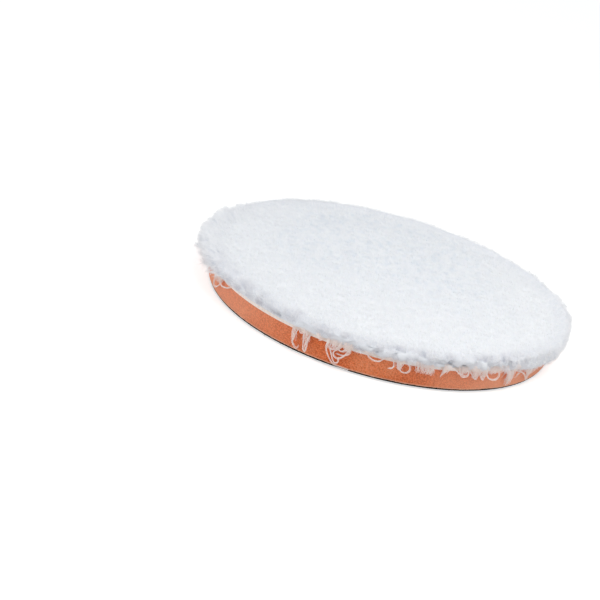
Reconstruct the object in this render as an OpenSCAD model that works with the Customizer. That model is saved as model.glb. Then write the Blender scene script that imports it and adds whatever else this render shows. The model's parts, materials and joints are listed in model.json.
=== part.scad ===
// Round polishing pad: a tufted pile face on a foam cushion with a brushed loop
// back, bonded into one disc that a hook-faced backing plate carries.
// The origin is the centre of the loop face, and +Z points out of the pile.

/* [Foam] */
// Diameter of the foam at the loop back
foam_d = 150; // [100:1:200]
// Thickness of the foam
foam_t = 10; // [6:0.5:25]
// How much further out the foam reaches at the pile than at the back
foam_flare = 0.5; // [0:0.1:3]
// Radius of the softened edge at the back of the foam
foam_edge_r = 0.8; // [0.2:0.1:2]

/* [Loop back] */
// Thickness of the brushed nap of loops
nap_t = 0.7; // [0.6:0.1:2]
// Radius of the nap's worn edge
nap_edge_r = 0.5; // [0.1:0.1:0.5]
// Thickness of the knitted cloth that holds the loops
loop_cloth_t = 0.4; // [0.3:0.1:1]
// How far the loop cloth stays inside the edge of the foam
loop_inset = 0.6; // [0:0.1:2]

/* [Adhesive] */
// Thickness of each hot-melt film
film_t = 0.2; // [0.1:0.05:0.5]
// How far each film stays inside the edge of the foam
film_inset = 1.2; // [1:0.1:3]

/* [Pile] */
// Thickness of the woven cloth that holds the tufts
pile_cloth_t = 0.8; // [0.5:0.1:1.5]
// Height of the pile above its cloth at the rim
pile_h = 5.5; // [4:0.5:20]
// How much the middle of the pile stands above its rim
pile_crown = 0.8; // [0:0.1:3]
// How far the tips of the rim locks reach past the pile cloth
lock_reach = 6.5; // [4:0.5:12]
// How far the rim locks hang down beside the foam
lock_droop = 0.5; // [0.2:0.1:5]
// Depth of the gaps between neighbouring rim locks
lock_gap = 1.6; // [0:0.1:2]
// How unevenly long the rim locks are
lock_scatter = 0.8; // [0:0.1:1.2]
// Share of their reach that the rim locks lose at the front, where the pile stands upright
front_press = 0.5; // [0:0.05:0.6]
// How far the rim locks crowd together or spread apart, in degrees round the rim
lock_sway = 1.6; // [0:0.1:2]
// Number of locks round the rim
rim_locks = 56; // [16:2:80]
// Distance between neighbouring tufts on the face
tuft_pitch = 7.5; // [6:0.5:12]
// Height of each tuft above and below the face
tuft_relief = 0.5; // [0:0.1:1]
// Gap between the hanging locks and the side of the foam
lock_clearance = 0.3; // [0.2:0.1:1]

/* [Hidden] */
$fn = 128;

// Heights of the layers, from the loop face up
loop_cloth_z = nap_t;
back_film_z = loop_cloth_z + loop_cloth_t;
foam_z = back_film_z + film_t;
face_film_z = foam_z + foam_t;
pile_cloth_z = face_film_z + film_t;
pile_z = pile_cloth_z + pile_cloth_t;

// Radii of the layers
foam_r = foam_d / 2;
loop_r = foam_r - loop_inset;
face_r = foam_r + foam_flare;
pile_r = face_r + lock_clearance;

// Steps of a rounded edge, and the angles of the rings that sweep round the rim
edge_steps = 6;
rim_angles = [-90, -50, -15, 20, 55, 90];

// Points of one rim lock and of the whole rim, which has its locks in pairs
lock_points = 4;
rim_points = lock_points * 2 * round(rim_locks / 2);

// Waves round the rim that vary the locks
scatter_waves = 13;
scatter_ripples = 29;

// Share of a direction that faces the front (-Y), where the upright pile starts and is full
front_start = 0.3;
front_full = 0.75;

// A quarter circle of points about (x, z), from one angle to another
function quarter(x, z, r, from, to) =
    [for (i = [0:edge_steps])
        let (a = from + (to - from) * i / edge_steps) [x + r * cos(a), z + r * sin(a)]];

// A level disc of the stack
module layer(r, z, t) {
    translate([0, 0, z])
        cylinder(r = r, h = t);
}

// Brushed nap: the loops that the hooks of the backing plate hold
module loop_nap() {
    color([0.03, 0.035, 0.04])
        rotate_extrude()
            polygon(concat(
                [[0, 0]],
                quarter(loop_r - nap_edge_r, nap_edge_r, nap_edge_r, -90, 0),
                [[loop_r, nap_t], [0, nap_t]]));
}

// Knitted ground of the loop fabric
module loop_cloth() {
    color([0.05, 0.055, 0.06])
        layer(loop_r, loop_cloth_z, loop_cloth_t);
}

// Film that bonds the loop fabric to the foam
module back_adhesive() {
    color([0.85, 0.8, 0.68])
        layer(foam_r - film_inset, back_film_z, film_t);
}

// Foam cushion, cut with a slight flare towards the pile
module foam_cushion() {
    color([0.87, 0.5, 0.32])
        rotate_extrude()
            polygon(concat(
                [[0, foam_z]],
                quarter(foam_r - foam_edge_r, foam_z + foam_edge_r, foam_edge_r, -90, 0),
                [[face_r, face_film_z], [0, face_film_z]]));
}

// Film that bonds the pile cloth to the foam
module face_adhesive() {
    color([0.85, 0.8, 0.68])
        layer(face_r - film_inset, face_film_z, film_t);
}

// Woven ground cloth that the tufts are anchored in
module pile_cloth() {
    color([0.93, 0.92, 0.9])
        layer(face_r, pile_cloth_z, pile_cloth_t);
}

// The pile is a closed skin of rings about Z. It starts under the middle, runs out
// over the cloth, down beside the foam, round the splayed locks of the rim and back
// over the tufts of the face.

// Direction of the rim's point j: waves crowd some locks together
function rim_angle(j) =
    let (a = 360 * j / rim_points)
        a + lock_sway * sin(scatter_waves * a);

// How far a direction belongs to the front, from 0 at the sides and back to 1
function at_front(a) =
    let (t = max(0, min(1, (-sin(a) - front_start) / (front_full - front_start))))
        t * t * (3 - 2 * t);

// Reach of the rim at its point j: round locks with a gap between them, some longer
function reach(j) =
    let (
        a = 360 * j / rim_points,
        lobe = abs(sin(180 * j / lock_points)),
        wave = (sin(scatter_waves * a) + sin(scatter_ripples * a)) / 2)
        (lock_reach - lock_gap * (1 - lobe) + lock_scatter * wave)
        * (1 - front_press * at_front(a));

// A point of the pile, from its distance to the axis, direction and height
function polar(r, a, z) = [r * cos(a), r * sin(a), z];

// A ring of the rim at an angle of its section, from the droop at -90 to the top at 90
function rim_ring(angle) =
    let (
        middle = pile_z + (pile_h - lock_droop) / 2,
        half = (pile_h + lock_droop) / 2)
        [for (j = [0:rim_points - 1])
            polar(pile_r + reach(j) * cos(angle), rim_angle(j), middle + half * sin(angle))];

// The level ring where the pile leaves its cloth
function cloth_ring() =
    [for (j = [0:rim_points - 1]) polar(pile_r, rim_angle(j), pile_z)];

// Rings of the face, with fewer points on the inner ones
row_step = tuft_pitch * 2 / 3;
face_rows = floor(pile_r / row_step);
function row_points(r) =
    r > pile_r / 2 ? rim_points / 2 : r > pile_r / 4 ? rim_points / 4 : rim_points / 8;

// Height of the face: a low crown, and tufts in rows that wander
function tuft(x, y) =
    let (
        u = 180 * x / tuft_pitch,
        v = 180 * y / tuft_pitch)
        sin(u + 60 * sin(v / 3)) * sin(v + 60 * sin(u / 3));
function face_z(r, a) =
    pile_z + pile_h + pile_crown * (1 - pow(r / pile_r, 2))
    + tuft_relief * tuft(r * cos(a), r * sin(a));
function face_ring(i) =
    let (
        r = pile_r * (1 - i / face_rows),
        n = row_points(r))
        [for (j = [0:n - 1]) polar(r, 360 * j / n, face_z(r, 360 * j / n))];

// Triangles between a ring and the next one, which has as many points, half as many or one
function band(from, n, to, m) =
    m == 1 ? [for (j = [0:n - 1]) [from + (j + 1) % n, from + j, to]]
    : n == 1 ? [for (j = [0:m - 1]) [from, to + j, to + (j + 1) % m]]
    : n == m ? [for (j = [0:n - 1], half = [0, 1])
        let (k = (j + 1) % n)
            half == 0 ? [from + k, from + j, to + j] : [from + k, to + j, to + k]]
    : [for (j = [0:m - 1], third = [0:2])
        let (k = (j + 1) % m, near = from + 2 * j, middle = near + 1, far = from + (2 * k) % n)
            third == 0 ? [middle, near, to + j]
            : third == 1 ? [middle, to + j, to + k]
            : [far, middle, to + k]];

module skin(rings) {
    starts = [for (i = 0, s = 0; i < len(rings); s = s + len(rings[i]), i = i + 1) s];
    polyhedron(
        points = [for (ring = rings) each ring],
        faces = [for (i = [0:len(rings) - 2])
            each band(starts[i], len(rings[i]), starts[i + 1], len(rings[i + 1]))],
        convexity = 4);
}

// Tufted pile: the face that polishes, with its rim splayed over the foam
module pile() {
    color([0.95, 0.96, 0.97])
        skin(concat(
            [[[0, 0, pile_z]], cloth_ring()],
            [for (angle = rim_angles) rim_ring(angle)],
            [for (i = [1:face_rows - 1]) face_ring(i)],
            [[[0, 0, face_z(0, 0)]]]));
}

loop_nap();
loop_cloth();
back_adhesive();
foam_cushion();
face_adhesive();
pile_cloth();
pile();
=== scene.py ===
# %% [markdown]
# # A polishing pad for a car polisher
#
# The pad is a sandwich of soft layers: black loop fabric at the back, a disc of orange
# foam, and a white tufted face whose rim spills over the foam. The solids from the
# construction model are loaded first. They say where every layer sits, so each soft
# piece that is modelled here is sized from them and takes their place.

# %% Load the solids
import json
import math
import random

import bpy
from mathutils import Matrix, Vector

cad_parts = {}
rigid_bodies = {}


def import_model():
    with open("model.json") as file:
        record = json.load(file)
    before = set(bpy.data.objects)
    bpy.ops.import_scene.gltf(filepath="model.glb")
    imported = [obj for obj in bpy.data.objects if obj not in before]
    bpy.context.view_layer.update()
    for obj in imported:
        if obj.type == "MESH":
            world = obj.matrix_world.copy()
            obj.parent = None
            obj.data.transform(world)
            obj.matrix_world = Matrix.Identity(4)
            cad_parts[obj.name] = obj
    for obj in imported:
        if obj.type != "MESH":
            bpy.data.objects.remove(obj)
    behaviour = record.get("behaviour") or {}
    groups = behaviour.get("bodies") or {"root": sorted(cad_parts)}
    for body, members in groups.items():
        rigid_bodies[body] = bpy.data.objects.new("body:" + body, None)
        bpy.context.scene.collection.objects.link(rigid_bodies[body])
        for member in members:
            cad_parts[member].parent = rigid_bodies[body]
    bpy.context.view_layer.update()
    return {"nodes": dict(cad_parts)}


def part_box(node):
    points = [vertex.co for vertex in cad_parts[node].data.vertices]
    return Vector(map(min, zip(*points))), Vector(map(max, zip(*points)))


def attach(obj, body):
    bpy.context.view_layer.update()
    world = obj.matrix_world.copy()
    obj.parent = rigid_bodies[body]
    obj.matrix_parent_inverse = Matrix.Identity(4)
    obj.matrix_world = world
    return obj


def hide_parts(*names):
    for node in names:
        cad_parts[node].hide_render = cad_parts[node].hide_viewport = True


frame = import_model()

MM = 0.001
print("solids:", ", ".join(sorted(frame["nodes"])))

# %% [markdown]
# ## Camera
#
# The picture was taken with a long lens from a little above the pad, and the pad leans to
# the right in it. The pad could be tilted to match, but one that lies level is easier to
# reuse, so it stays level and the camera rolls instead, which gives the same picture.
# White fibres pass light on to each other many times, so light may bounce often.

# %% Place the camera
CAMERA_PLACE = Vector((-0.0334, -0.7043, 0.2765))
CAMERA_AIM = Vector((-0.0334, -0.0126, -0.0002))
CAMERA_ROLL = math.radians(14.86)
CAMERA_LENS = 105.6
SENSOR_WIDTH = 36
NEAREST_SEEN = 0.01
LIGHT_BOUNCES = 24

bpy.ops.object.select_all(action="DESELECT")
bpy.ops.object.camera_add(location=CAMERA_PLACE)
camera = bpy.context.object
turn = (CAMERA_AIM - CAMERA_PLACE).to_track_quat("-Z", "Y").to_matrix()
camera.rotation_euler = (turn @ Matrix.Rotation(CAMERA_ROLL, 3, "Z")).to_euler()
camera.data.lens = CAMERA_LENS
camera.data.sensor_width = SENSOR_WIDTH
camera.data.clip_start = NEAREST_SEEN
bpy.context.scene.camera = camera
bpy.context.scene.view_settings.view_transform = "Standard"
bpy.context.scene.cycles.max_bounces = LIGHT_BOUNCES
bpy.context.scene.cycles.diffuse_bounces = LIGHT_BOUNCES
print("camera at", [round(x, 3) for x in camera.location])

# %% [markdown]
# ## Sizes of the layers
#
# Every size is read from the solids: the height where each layer starts and ends, and its
# radius. The foam flares, so its box gives its radius at the pile. At its back it reaches
# as far past the lower film as the film is set in.

# %% Read the layers
FILM_INSET = 1.2 * MM


def layer(node):
    """The lowest and the highest level of a solid, and its radius."""
    low, high = (Vector(corner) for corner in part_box(node))
    return low.z, high.z, (high.x - low.x) / 2


nap_bottom, nap_top, loop_r = layer("loop_nap")
loop_cloth_bottom, loop_cloth_top, _ = layer("loop_cloth")
foam_bottom, foam_top, face_r = layer("foam_cushion")
pile_cloth_bottom, pile_cloth_top, _ = layer("pile_cloth")
_, pile_top, pile_reach_r = layer("pile")
_, _, back_film_r = layer("back_adhesive")
foam_r = back_film_r + FILM_INSET
for name, r, low, high in (("foam", foam_r, foam_bottom, foam_top),
                           ("pile", pile_reach_r, pile_cloth_top, pile_top)):
    print(f"{name}: {2 * r / MM:.1f} mm across, {(high - low) / MM:.1f} mm high")

# %% [markdown]
# ## Turned pieces
#
# Every layer of the pad is round. A profile with a Screw modifier would give such forms.
# Here a circle is extruded ring by ring along a profile of radius and height, as a potter
# raises a wall, which closes the piece at both ends as well. Operators act on what is
# selected, so each piece starts from an empty selection. At the end its points and faces
# are numbered afresh, because fibres are scattered over them later, and the operators
# don't number them alike in every run.

# %% Turn a piece
DIGITS = 7


def start_fresh():
    if bpy.context.object and bpy.context.object.mode != "OBJECT":
        bpy.ops.object.mode_set(mode="OBJECT")
    bpy.ops.object.select_all(action="DESELECT")


def in_order(piece):
    """Number points and faces from low to high and round the axis, so that runs agree."""
    mesh = piece.data
    places = [vertex.co.copy() for vertex in mesh.vertices]

    def rank(i):
        point = places[i]
        angle = math.atan2(point.y, point.x)
        return round(point.z, DIGITS), round(point.xy.length, DIGITS), angle

    order = sorted(range(len(places)), key=rank)
    number = {old: new for new, old in enumerate(order)}
    corners = []
    for face in mesh.polygons:
        ring = [number[i] for i in face.vertices]
        first = ring.index(min(ring))
        corners.append(ring[first:] + ring[:first])
    mesh.clear_geometry()
    mesh.from_pydata([places[i] for i in order], [], sorted(corners))
    mesh.update()


def turned(name, profile, sides):
    """A turned piece along a profile of (radius, height), closed at both ends."""
    start_fresh()
    (r, z), rings = profile[0], profile[1:]
    bpy.ops.mesh.primitive_circle_add(
        vertices=sides, radius=r, location=(0, 0, z), fill_type="NGON")
    piece = bpy.context.object
    piece.name = piece.data.name = name
    bpy.ops.object.transform_apply(location=True)
    bpy.ops.object.mode_set(mode="EDIT")
    bpy.ops.mesh.select_all(action="SELECT")
    for next_r, next_z in rings:
        bpy.ops.mesh.extrude_region_move(TRANSFORM_OT_translate={"value": (0, 0, next_z - z)})
        grow = next_r / r
        bpy.ops.transform.resize(value=(grow, grow, 1), center_override=(0, 0, next_z))
        r, z = next_r, next_z
    bpy.ops.mesh.select_all(action="SELECT")
    bpy.ops.mesh.normals_make_consistent(inside=False)
    bpy.ops.object.mode_set(mode="OBJECT")
    in_order(piece)
    bpy.ops.object.shade_smooth()
    return piece


def arc(x, z, rx, rz, start, end, steps):
    """Points of an ellipse about (x, z), between two angles in degrees."""
    angles = [math.radians(start + (end - start) * i / steps) for i in range(steps + 1)]
    return [(x + rx * math.cos(a), z + rz * math.sin(a)) for a in angles]


def between(start, end, steps):
    """Points of a straight line after its start."""
    return [tuple(a + (b - a) * i / steps for a, b in zip(start, end))
            for i in range(1, steps + 1)]


# %% [markdown]
# A turned form is too even for cloth and foam. A sculptor would rough it up by hand. A
# Displace modifier does the same with a solid texture, along the normals or along one
# axis, and is applied at once.

# %% Rough up a piece
def push_out(piece, depth, group="", texture=None, middle=0.0, direction="NORMAL"):
    """Push a surface along its normals or an axis, evenly or by a texture."""
    start_fresh()
    piece.select_set(True)
    bpy.context.view_layer.objects.active = piece
    bpy.ops.object.modifier_add(type="DISPLACE")
    push = piece.modifiers[-1]
    push.texture = texture
    push.texture_coords = "LOCAL"
    push.strength = depth
    push.mid_level = middle
    push.direction = direction
    push.vertex_group = group
    bpy.ops.object.modifier_apply(modifier=push.name)


def rough_up(piece, kind, grain, depth, middle=0.5, group="", direction="NORMAL"):
    """Push a surface in and out by a solid texture."""
    texture = bpy.data.textures.new(f"{piece.name}_{kind.lower()}", kind)
    texture.noise_scale = grain
    push_out(piece, depth, group, texture, middle, direction)


def triangles(piece):
    return sum(len(face.vertices) - 2 for face in piece.data.polygons)


# %% [markdown]
# ## Foam cushion
#
# The foam is cut from a sheet, so its side is a band of opened cells. A bump in its finish
# alone would leave the outline smooth. So the band is raised in half-millimetre rings,
# which is fine enough for the cells to be real dents, and the dents come from a cell
# texture. A cloud texture then makes the cut waver a little.

# %% Turn the foam
FOAM_EDGE = 0.8 * MM
FOAM_EDGE_STEPS = 4
FOAM_RINGS = 22
FOAM_SIDES = 900
foam = turned(
    "foam_cushion_soft",
    arc(foam_r - FOAM_EDGE, foam_bottom + FOAM_EDGE, FOAM_EDGE, FOAM_EDGE,
        start=-90, end=0, steps=FOAM_EDGE_STEPS)
    + between((foam_r, foam_bottom + FOAM_EDGE), (face_r, foam_top), FOAM_RINGS),
    FOAM_SIDES,
)
rough_up(foam, "VORONOI", grain=0.9 * MM, depth=0.28 * MM, middle=0.35)
rough_up(foam, "CLOUDS", grain=9 * MM, depth=0.25 * MM)
print("foam:", triangles(foam), "triangles")

# %% [markdown]
# ## Maths on sockets
#
# A finish is a network of nodes. Wired one by one, a single sum takes a handful of lines.
# So a node's socket is wrapped in a small class, and maths on it reads as Python: an
# expression such as 1 - 0.3 * tone adds the nodes that work it out. Any other node comes
# from one method, which takes its kind, its settings and its inputs.

# %% Wrap a socket
class Wire:
    def __init__(self, tree, socket=None):
        self.tree = tree
        self.socket = socket

    def node(self, kind, settings=None, inputs=None, out=0):
        """A new node, as a wire from one of its outputs."""
        made = self.tree.nodes.new(kind)
        for name, value in (settings or {}).items():
            setattr(made, name, value)
        for key, value in (inputs or {}).items():
            if isinstance(value, Wire):
                self.tree.links.new(value.socket, made.inputs[key])
            else:
                made.inputs[key].default_value = value
        return Wire(self.tree, made.outputs[out] if made.outputs else None)

    def other(self, out):
        """A wire from another output of the same node."""
        return Wire(self.tree, self.socket.node.outputs[out])

    def number(self, value):
        wire = self.node("ShaderNodeValue")
        wire.socket.default_value = value
        return wire

    def maths(self, operation, *values):
        wires = [v for v in values if isinstance(v, Wire)]
        vector = any(w.socket.type == "VECTOR" for w in wires)
        kind = "ShaderNodeVectorMath" if vector else "ShaderNodeMath"
        return self.node(kind, {"operation": operation}, dict(enumerate(values)))

    def __add__(self, other):
        return self.maths("ADD", self, other)

    def __radd__(self, other):
        return self.maths("ADD", other, self)

    def __sub__(self, other):
        return self.maths("SUBTRACT", self, other)

    def __rsub__(self, other):
        return self.maths("SUBTRACT", other, self)

    def __mul__(self, other):
        return self.maths("MULTIPLY", self, other)

    def __rmul__(self, other):
        return self.maths("MULTIPLY", other, self)

    def __truediv__(self, other):
        return self.maths("DIVIDE", self, other)

    def __rtruediv__(self, other):
        return self.maths("DIVIDE", other, self)

    def __abs__(self):
        return self.maths("ABSOLUTE", self)

    def scaled(self, factor):
        """A vector times a number or a value."""
        return self.node("ShaderNodeVectorMath", {"operation": "SCALE"},
                         {0: self, "Scale": factor})

    def unit(self):
        return self.node("ShaderNodeVectorMath", {"operation": "NORMALIZE"}, {0: self})

    def parts(self):
        """The three numbers of a vector."""
        split = self.node("ShaderNodeSeparateXYZ", None, {"Vector": self})
        return [split.other(out) for out in range(3)]

    def from_axis(self):
        """The distance of a place from the axis of the pad."""
        x, y, _ = self.parts()
        return self.maths("SQRT", x * x + y * y)

    def ramp(self, start, end):
        """0 before the start, 1 after the end and smooth between them."""
        return self.node("ShaderNodeMapRange", {"interpolation_type": "SMOOTHSTEP"},
                         {"Value": self, "From Min": start, "From Max": end})

    def blend(self, low, high):
        """A number between two others, with this value as the share of the second."""
        return self * (high - low) + low

    def mixed(self, low, high):
        """A colour between two others, with this value as the share of the second."""
        return self.node("ShaderNodeMix", {"data_type": "RGBA", "clamp_factor": True},
                         {0: self, 6: low, 7: high}, out=2)

    def contrast(self, gain, floor):
        """A value spread out by a gain, with its floor taken off."""
        return self * gain - floor

    def noise(self, scale, detail, out=0):
        return self.node("ShaderNodeTexNoise", None,
                         {"Vector": self, "Scale": scale, "Detail": detail}, out)

    def bump(self, strength, distance, invert=False):
        """Normals of a surface that this value raises."""
        return self.node("ShaderNodeBump", {"invert": invert},
                         {"Height": self, "Strength": strength, "Distance": distance})


# %% [markdown]
# Each finish starts from Blender's own surface shader with its plain numbers set. Its
# patterns read the place of a point in the piece, so they stay put when the piece moves.
# Colours are given as seen on screen and turned into the numbers that shaders use. A
# dressed piece has its finish, rides with the pad, and may stand for one of the solids.

# %% Start a finish and dress a piece
def material(name, roughness, specular=0.5, sheen=0.0):
    """A new material, its wire and its surface shader."""
    made = bpy.data.materials.new(name)
    made.use_nodes = True
    shader = made.node_tree.nodes["Principled BSDF"]
    shader.inputs["Roughness"].default_value = roughness
    shader.inputs["Specular IOR Level"].default_value = specular
    shader.inputs["Sheen Weight"].default_value = sheen
    return made, Wire(made.node_tree), shader


def place_on(w):
    """The place of a point, in the piece's own frame."""
    return w.node("ShaderNodeTexCoord", out="Object")


def connect(shader, **wires):
    for socket, wire in wires.items():
        wire.tree.links.new(wire.socket, shader.inputs[socket.replace("_", " ")])


def linear(*srgb):
    """A colour as seen on screen, from 0 to 255, in the numbers that shaders use."""
    return (*(c / 255 / 12.92 if c < 10.4 else ((c / 255 + 0.055) / 1.055) ** 2.4
              for c in srgb), 1)


def paint(piece, look):
    piece.data.materials.clear()
    piece.data.materials.append(look)
    print(f"{piece.name} has the finish {look.name}")


def dress(piece, look, stands_for=None):
    """Paint a piece and tie it to the pad; stands_for names the solid that it replaces."""
    paint(piece, look)
    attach(piece, "root")
    if stands_for:
        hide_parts(stands_for)


# %% [markdown]
# The foam is a dusty orange. Its cells are darker inside, painted shade in their hollows,
# and paler on their rims, and the colour drifts a little over a few centimetres, as dyed
# foam does. It is painted paler towards both sides, for the light that falls there, and its
# lowest half millimetre is paler too, a painted highlight where its rounded edge catches
# the light. A picture could be wrapped round it, but noise and cell textures have no seam.

# %% Foam finish
# The colour in the cell hollows is painted shade.
FOAM_HOLLOW_SHADE = linear(194, 90, 44)
FOAM_FACE = linear(240, 128, 75.5)
FOAM_PALE = linear(251, 170, 127)
# Painted light: a paler tone for both sides of the foam.
FOAM_SIDE_LIT = linear(251, 187, 158)
# A painted highlight along the rounded lowest edge.
FOAM_EDGE_HIGHLIGHT = linear(252, 206, 178)
CELL_SCALE, CELL_RIM, CELL_HOLLOW = 1500, 0.15, 0.75
# Where the painted light on the sides starts and is full, and how strong it is.
SIDE_LIT_MIDDLE, SIDE_LIT_START, SIDE_LIT_FULL, SIDE_LIT_SHARE = -8 * MM, 8 * MM, 78 * MM, 0.62
# Height and strength of the painted highlight on the lowest edge.
HIGHLIGHT_TOP, HIGHLIGHT_FULL, HIGHLIGHT_SHARE = 0.9 * MM, 0.3 * MM, 0.7

foam_look, w, shader = material("orange_foam", roughness=0.95, specular=0.2)
place = place_on(w)
x, _, z = place.parts()
cells = w.node("ShaderNodeTexVoronoi", {"feature": "F1"},
               {"Vector": place, "Scale": CELL_SCALE})
hollow = w.node("ShaderNodeMapRange", None,
                {"Value": cells, "From Min": CELL_RIM, "From Max": CELL_HOLLOW})
grit, drift = place.noise(scale=2400, detail=3), place.noise(scale=45, detail=2)
# Painted light, paler towards both sides.
side_lit = abs(x - SIDE_LIT_MIDDLE).ramp(SIDE_LIT_START, SIDE_LIT_FULL)
# The painted highlight on the lowest edge.
edge_highlight = z.ramp(foam_bottom + HIGHLIGHT_TOP, foam_bottom + HIGHLIGHT_FULL)
# Painted shade in the cell hollows.
tone = hollow.mixed(FOAM_FACE, FOAM_HOLLOW_SHADE)
tone = (grit * drift).contrast(gain=2.4, floor=0.45).mixed(tone, FOAM_PALE)
tone = (side_lit * SIDE_LIT_SHARE).mixed(tone, FOAM_SIDE_LIT)
tone = (edge_highlight * HIGHLIGHT_SHARE).mixed(tone, FOAM_EDGE_HIGHLIGHT)
bump = cells.bump(strength=0.5, distance=0.2 * MM, invert=True)
connect(shader, Base_Color=tone, Normal=bump)
dress(foam, foam_look, stands_for="foam_cushion")

# %% [markdown]
# ## Loop fabric
#
# The back is a warp-knitted fabric whose loops were brushed into a felted nap. Every loop
# could be modelled, but that would take millions of faces. So two turned pieces stand for
# it: the knitted ground, which shows at the edge as a thin dark line, and the felt of the
# nap. Filaments that the brush pulled out are planted on the felt later, in the same way
# as the pile.

# %% Turn the loop fabric
NAP_EDGE = 1.6 * MM
NAP_EDGE_STEPS = 5
NAP_FELT = 0.4 * MM
NAP_SIDES = 360
NAP_STEP = 1.3 * MM
NAP_START = 0.3 * NAP_STEP
nap_rings = int(loop_r / NAP_STEP)
nap_ground = nap_bottom + NAP_FELT
nap = turned(
    "loop_nap_soft",
    between((NAP_START, nap_ground), (loop_r - NAP_EDGE, nap_ground), nap_rings)
    + arc(loop_r - NAP_EDGE, nap_top, NAP_EDGE, nap_top - nap_ground,
          start=-80, end=0, steps=NAP_EDGE_STEPS),
    NAP_SIDES,
)
rough_up(nap, "CLOUDS", grain=1.2 * MM, depth=-0.12 * MM, middle=0.0)
print("nap:", triangles(nap), "triangles")

STITCHES = 560
KNIT_EDGE = 0.1 * MM
loop_cloth = turned(
    "loop_cloth_knit",
    [(loop_r - KNIT_EDGE, loop_cloth_bottom)]
    + between((loop_r, loop_cloth_bottom + KNIT_EDGE), (loop_r, loop_cloth_top - KNIT_EDGE),
              steps=2)
    + [(loop_r - KNIT_EDGE, loop_cloth_top)],
    STITCHES,
)
print("loop cloth:", triangles(loop_cloth), "triangles")

# %% [markdown]
# Nylon loops are matt and almost black, with a faint sheen. One noise is as fine as the
# loops and a coarse one stands for the strokes of the brush. The fine one also raises the
# surface a little, for fuzz that is too small to model. Ground and nap are one fabric, so
# they share the finish.

# %% Loop fabric finish
LOOP_DARK, LOOP_LIGHT = linear(8, 10, 13), linear(30, 33, 37)
FUZZ_SHARE, STROKE_SHARE, LOOP_FLOOR = 0.9, 0.5, 0.45

black_loop, w, shader = material("black_loop_nap", roughness=0.85, specular=0.2, sheen=0.05)
place = place_on(w)
fuzz, strokes = place.noise(scale=1600, detail=4), place.noise(scale=60, detail=3)
light = fuzz * FUZZ_SHARE + strokes * STROKE_SHARE - LOOP_FLOOR
bump = fuzz.bump(strength=0.6, distance=0.15 * MM)
connect(shader, Base_Color=light.mixed(LOOP_DARK, LOOP_LIGHT), Normal=bump)
dress(nap, black_loop, stands_for="loop_nap")
dress(loop_cloth, black_loop, stands_for="loop_cloth")

# %% [markdown]
# ## Pile cloth
#
# The tufts are anchored in a woven cloth. Only its cut edge shows, as a pale line where
# the pile meets the foam, because the edge is turned down a little over the foam. A plain
# disc would hide that line, so the profile of the turned cloth has a lip.

# %% Turn the pile cloth
WEAVE_ENDS = 620
LIP_GAP = 0.3 * MM
LIP_DROP = 1.5 * MM
LIP_THICK = 0.35 * MM
LIP_ROUND = 0.15 * MM
lip_inner_r = face_r + LIP_GAP
lip_low = pile_cloth_bottom - LIP_DROP
pile_cloth = turned(
    "pile_cloth_weave",
    [(lip_inner_r, pile_cloth_bottom), (lip_inner_r, lip_low)]
    + arc(lip_inner_r, lip_low + LIP_ROUND, LIP_THICK, LIP_ROUND, start=-60, end=0, steps=3)
    + between((lip_inner_r + LIP_THICK, pile_cloth_bottom), (lip_inner_r, pile_cloth_top),
              steps=3),
    WEAVE_ENDS,
)
print("pile cloth:", triangles(pile_cloth), "triangles")

# %% [markdown]
# The cloth is off-white. Its warm cream tint is partly its own and partly painted orange
# light from the foam beside it. One noise shades and raises its threads, which is enough
# for an edge of a millimetre or two.

# %% Pile cloth finish
# A cream tint, partly the cloth's own and partly painted orange light from the foam.
CLOTH_SHADE, CLOTH_LIGHT = linear(236, 222, 210), linear(252, 246, 240)

cloth_look, w, shader = material("white_ground_cloth", roughness=0.9, specular=0.2)
threads = place_on(w).noise(scale=1100, detail=3)
shade = threads.contrast(gain=2.2, floor=0.6).mixed(CLOTH_SHADE, CLOTH_LIGHT)
bump = threads.bump(strength=0.6, distance=0.2 * MM)
connect(shader, Base_Color=shade, Normal=bump)
dress(pile_cloth, cloth_look, stands_for="pile_cloth")

# %% [markdown]
# ## Pile bed
#
# The tufts stand so close that their lower halves make one soft mass. Fibres alone would
# have to be far denser to hide the cloth. So that mass is a turned form with a crowned
# top and a round rim that flares out from the cloth. It is kept inside the pile's real
# outline, and the fibres that grow from it reach the rest of the way.

# %% Turn the pile bed
FIBRE_COVER = 2.2 * MM
RIM_COVER = 5.2 * MM
CROWN = 1.2 * MM
CLOTH_GAP = 0.7 * MM
HEM_DROP = 0.9 * MM
SHOULDER = 5 * MM
WIDEST_AT = 0.78
BED_SIDES = 480
FACE_RINGS = 60
bed_inner_r = face_r + CLOTH_GAP
bed_rim_r = pile_reach_r - RIM_COVER
bed_shoulder_r = face_r - SHOULDER
bed_top = pile_top - FIBRE_COVER
bed_edge = bed_top - CROWN
bed_low = pile_cloth_top - HEM_DROP
bed_mid = bed_low + WIDEST_AT * (bed_edge - bed_low)


def crowned(r):
    return bed_top - CROWN * (r / bed_shoulder_r) ** 2


face_radii = [bed_shoulder_r * (1 - i / FACE_RINGS) for i in range(1, FACE_RINGS)]
bed = turned(
    "pile_bed",
    [(bed_inner_r, pile_cloth_top), (bed_inner_r, bed_low)]
    + arc(bed_inner_r, bed_mid, bed_rim_r - bed_inner_r, bed_mid - bed_low,
          start=-70, end=0, steps=5)
    + arc(bed_shoulder_r, bed_mid, bed_rim_r - bed_shoulder_r, bed_edge - bed_mid,
          start=0, end=90, steps=12)[1:]
    + [(r, crowned(r)) for r in face_radii],
    BED_SIDES,
)
print("pile bed:", triangles(bed), "triangles")

# %% [markdown]
# The pile isn't alike all round. At the front it stands upright in lumps and clumps, and
# its top edge dips. Towards the right its hem is scalloped, and at the right corner it
# hangs lower. Elsewhere the rim is fluffed out. Such zones could be painted by hand. Here
# a rule gives each point a weight from 0 to 1, so a zone can be moved by a number.

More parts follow.
